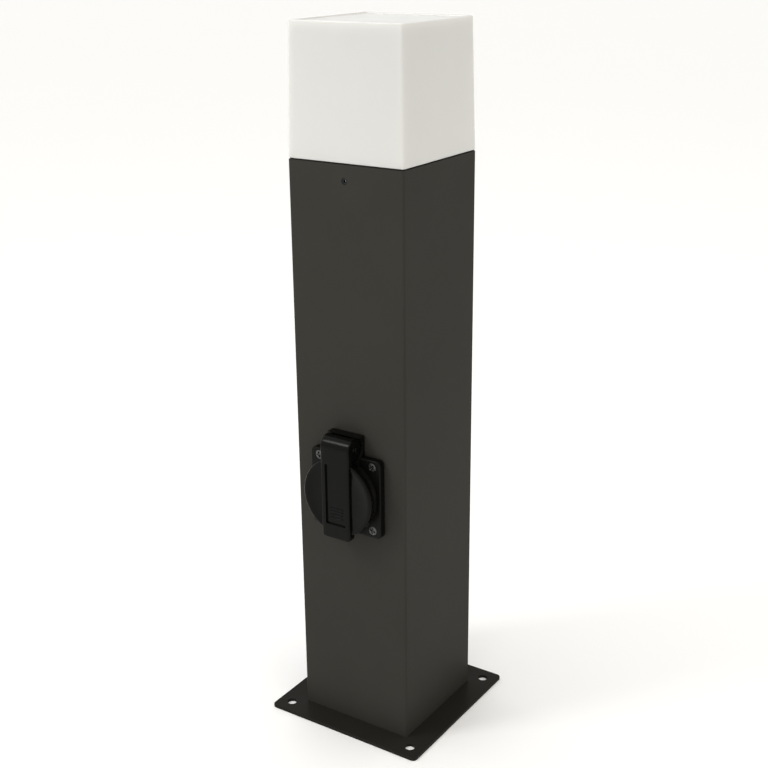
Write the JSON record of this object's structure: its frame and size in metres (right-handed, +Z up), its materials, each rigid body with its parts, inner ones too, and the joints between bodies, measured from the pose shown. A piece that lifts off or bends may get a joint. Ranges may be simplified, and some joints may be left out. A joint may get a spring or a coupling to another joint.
{
  "type": "garden bollard light with power socket",
  "caption": "Square post with a lit opal cap, a base plate to bolt down and a covered power socket with a sprung hinged lid.",
  "frame": {"origin": "centre of the anchor hole pattern, on the underside of the base plate", "axes": "+Z up the post, +X to the right when facing the socket, so the socket faces -Y"},
  "size_m": [0.1134, 0.1134, 0.4462],
  "materials": {
    "powder_coat": "fine-textured graphite powder coat, semi-matte",
    "opal_plastic": "opal white acrylic, satin outside",
    "rubber": "matte black rubber",
    "seal_rubber": "matte black sealing foam",
    "black_screw": "black oxide",
    "zinc_plated": "bright zinc plate",
    "stainless": "turned stainless steel",
    "clear_grey_plastic": "moulded polyamide",
    "brass": "turned brass",
    "tinned_copper": "dull tin plate",
    "white_plastic": "moulded heat-resistant plastic",
    "nickel_plated": "bright nickel plate",
    "lamp_plastic": "white moulded plastic over aluminium",
    "led_board": "white solder mask",
    "lamp_opal": "frosted opal plastic",
    "black_plastic": "moulded black plastic, semi-matte",
    "lid_plastic": "moulded black plastic, semi-gloss",
    "spring_steel": "spring steel wire",
    "brown_insulation": "PVC insulation",
    "green_yellow_insulation": "striped PVC insulation",
    "blue_insulation": "PVC insulation"
  },
  "bodies": {
    "post": {"base_plate": "powder_coat", "post_tube": "powder_coat", "cable_bushing": "rubber", "diffuser": "opal_plastic", "diffuser_seal": "seal_rubber", "set_screws": "black_screw", "lamp_bracket": "zinc_plated", "bracket_screws": "stainless", "bracket_nuts": "stainless", "terminal_block": "clear_grey_plastic", "terminal_barrels": "brass", "terminal_screws": "zinc_plated", "block_screws": "stainless", "earth_lug": "tinned_copper", "lampholder_body": "white_plastic", "lampholder_shell": "brass", "lampholder_contact": "brass", "lampholder_screws": "stainless", "lamp_contact": "zinc_plated", "lamp_cap": "nickel_plated", "lamp_body": "lamp_plastic", "lamp_led_board": "led_board", "lamp_globe": "lamp_opal", "socket_gasket": "seal_rubber", "socket_housing": "black_plastic", "flange_screws": "black_screw", "socket_insert": "black_plastic", "pin_contacts": "brass", "earth_strap": "tinned_copper", "contact_screws": "zinc_plated", "socket_cover": "black_plastic", "hinge_pin": "black_screw", "lid_spring": "spring_steel", "socket_live_wire": "brown_insulation", "socket_earth_wire": "green_yellow_insulation", "socket_neutral_wire": "blue_insulation", "lamp_live_wire": "brown_insulation", "lamp_neutral_wire": "blue_insulation", "earth_link_wire": "green_yellow_insulation"},
    "lid": {"socket_lid": "lid_plastic", "lid_gasket": "rubber"}
  },
  "joints": [
    {"name": "lid_hinge", "type": "hinge", "parent": "post", "child": "lid", "pos_m": [0, -0.0496, 0.1996], "axis": [-1, 0, 0], "range_deg": [0, 105], "stiffness_Nm_per_rad": 0.02, "springref_deg": -51.57, "deforming": ["lid_spring"]}
  ]
}
